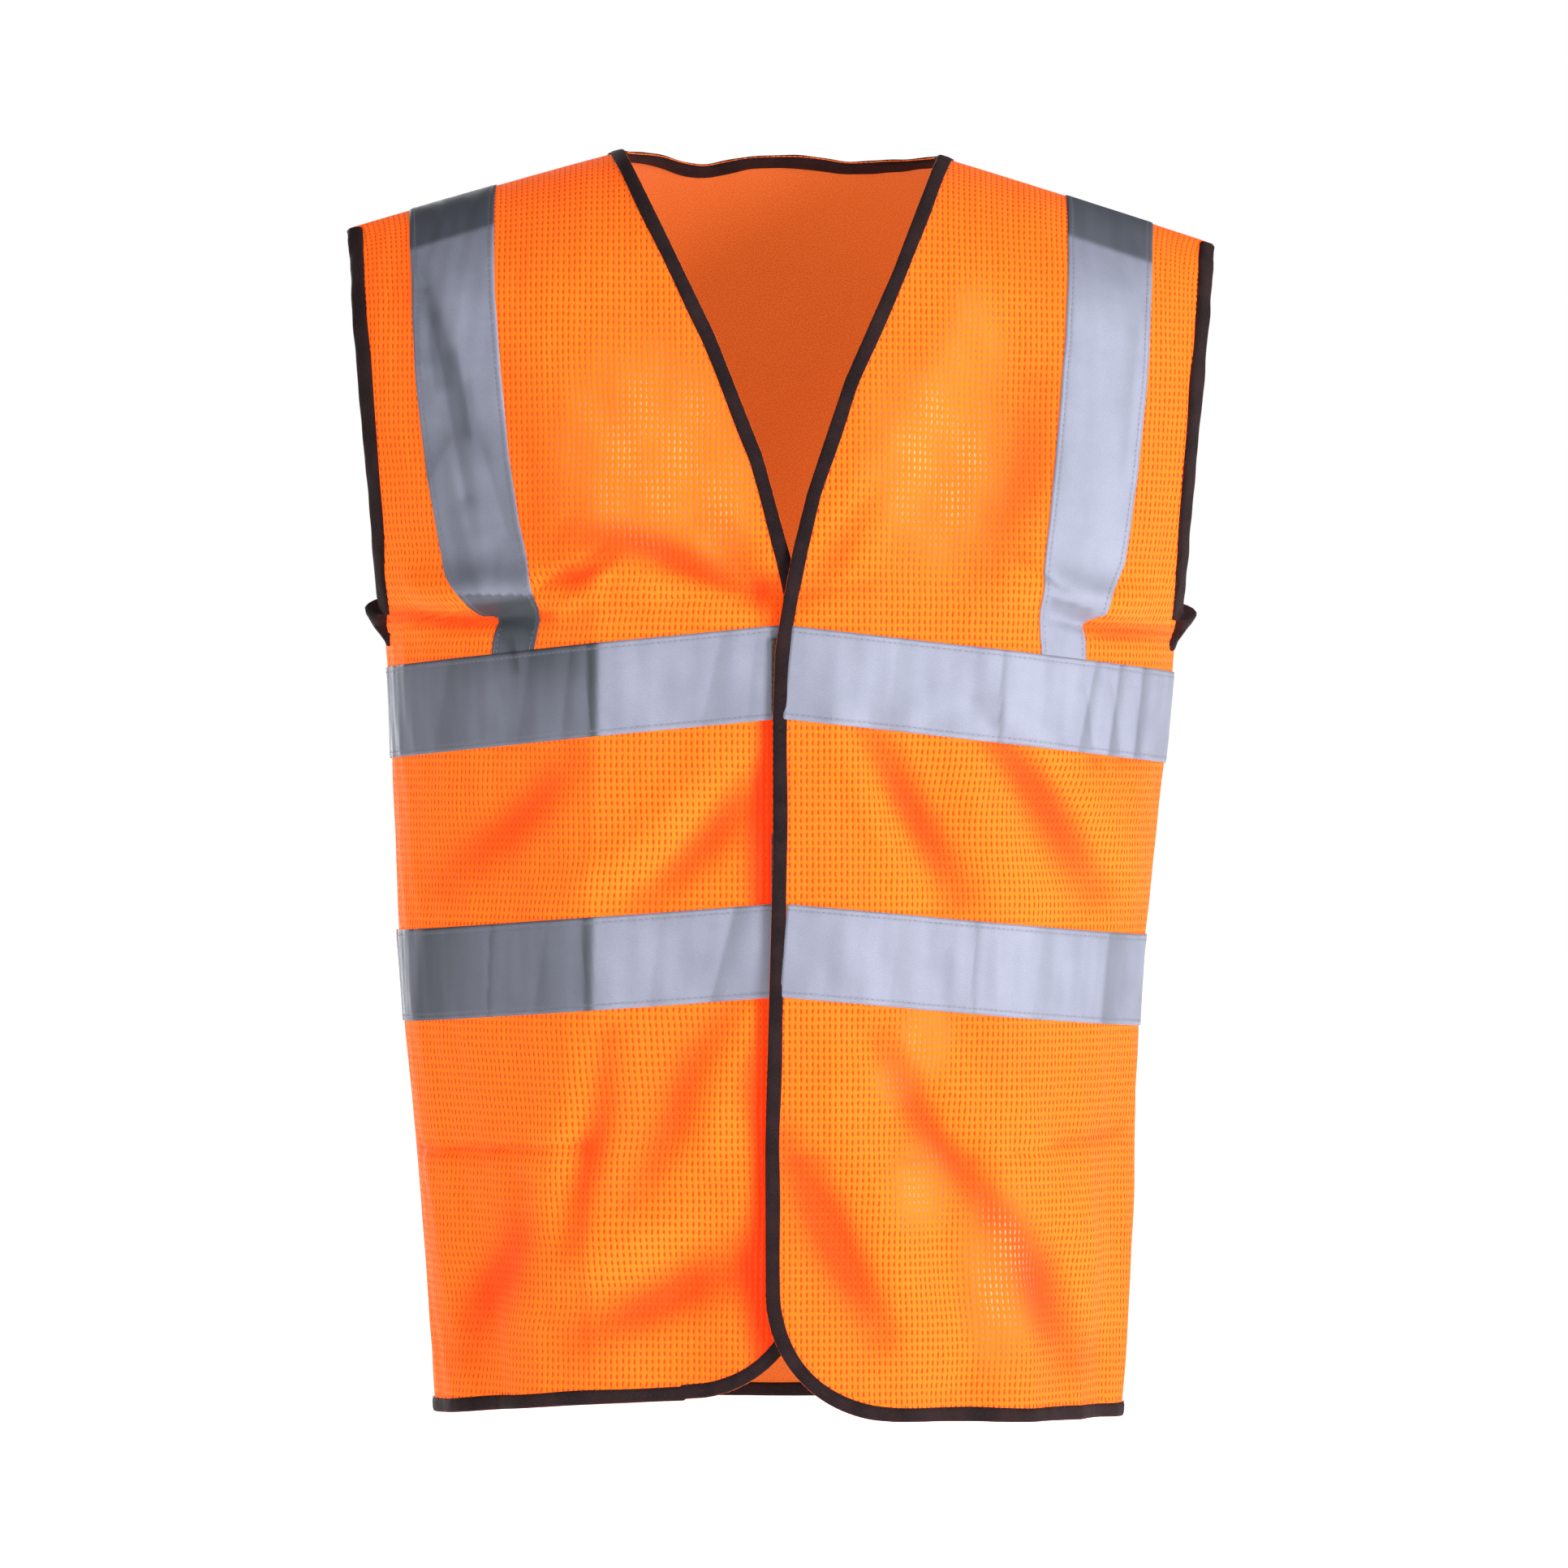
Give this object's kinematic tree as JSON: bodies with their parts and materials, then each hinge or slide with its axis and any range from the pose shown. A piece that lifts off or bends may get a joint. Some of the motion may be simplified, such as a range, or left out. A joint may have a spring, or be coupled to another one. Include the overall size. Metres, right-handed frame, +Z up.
{
  "type": "high visibility vest",
  "caption": "Sleeveless high-visibility vest with reflective tapes, bound edges and a hook-and-loop front that opens.",
  "frame": {"origin": "midway between the two points where the shoulder seams meet the neck, where the wearer's shoulders or a hanger carry the vest", "axes": "+Z up, the front of the vest towards -Y, +X towards the wearer's left"},
  "size_m": [0.4762, 0.2695, 0.6938],
  "materials": {
    "orange_mesh": "fluorescent orange knitted polyester mesh, matt",
    "reflective_tape": "silver glass-bead reflective tape on fabric, satin",
    "dark_binding": "near-black folded polyester binding, soft sheen",
    "hook_tape": "orange hook side of hook-and-loop tape",
    "loop_tape": "orange loop side of hook-and-loop tape",
    "label_satin": "white satin label, blank"
  },
  "bodies": {
    "back": {"back_panel": "orange_mesh", "back_neck_binding": "dark_binding", "back_hem_binding": "dark_binding", "upper_back_band": "reflective_tape", "lower_back_band": "reflective_tape", "left_armhole_back_binding": "dark_binding", "left_brace_back_tape": "reflective_tape", "right_armhole_back_binding": "dark_binding", "right_brace_back_tape": "reflective_tape"},
    "left_front": {"left_front_panel": "orange_mesh", "left_front_binding": "dark_binding", "left_armhole_front_binding": "dark_binding", "left_brace_front_tape": "reflective_tape", "upper_left_band": "reflective_tape", "lower_left_band": "reflective_tape", "loop_patch_1": "loop_tape", "loop_patch_2": "loop_tape", "loop_patch_3": "loop_tape", "loop_patch_4": "loop_tape"},
    "right_front": {"right_front_panel": "orange_mesh", "right_front_binding": "dark_binding", "right_armhole_front_binding": "dark_binding", "right_brace_front_tape": "reflective_tape", "upper_right_band": "reflective_tape", "lower_right_band": "reflective_tape", "hook_patch_1": "hook_tape", "hook_patch_2": "hook_tape", "hook_patch_3": "hook_tape", "hook_patch_4": "hook_tape"},
    "label": {"care_label": "label_satin"}
  },
  "joints": [
    {"name": "left_front_opening", "type": "hinge", "parent": "back", "child": "left_front", "pos_m": [0.19, 0, -0.691], "axis": [0.0765, 0, 0.9971], "range_deg": [0, 75]},
    {"name": "right_front_opening", "type": "hinge", "parent": "back", "child": "right_front", "pos_m": [-0.19, 0, -0.691], "axis": [-0.0765, 0, 0.9971], "range_deg": [-52.5, 0]},
    {"name": "label_flip", "type": "hinge", "parent": "back", "child": "label", "pos_m": [0.19, 0.0003, -0.551], "axis": [0, 0, 1], "range_deg": [0, 120]}
  ],
  "couplings": [
    {"joint": "right_front_opening", "follows": "left_front_opening", "ratio": -0.7}
  ]
}
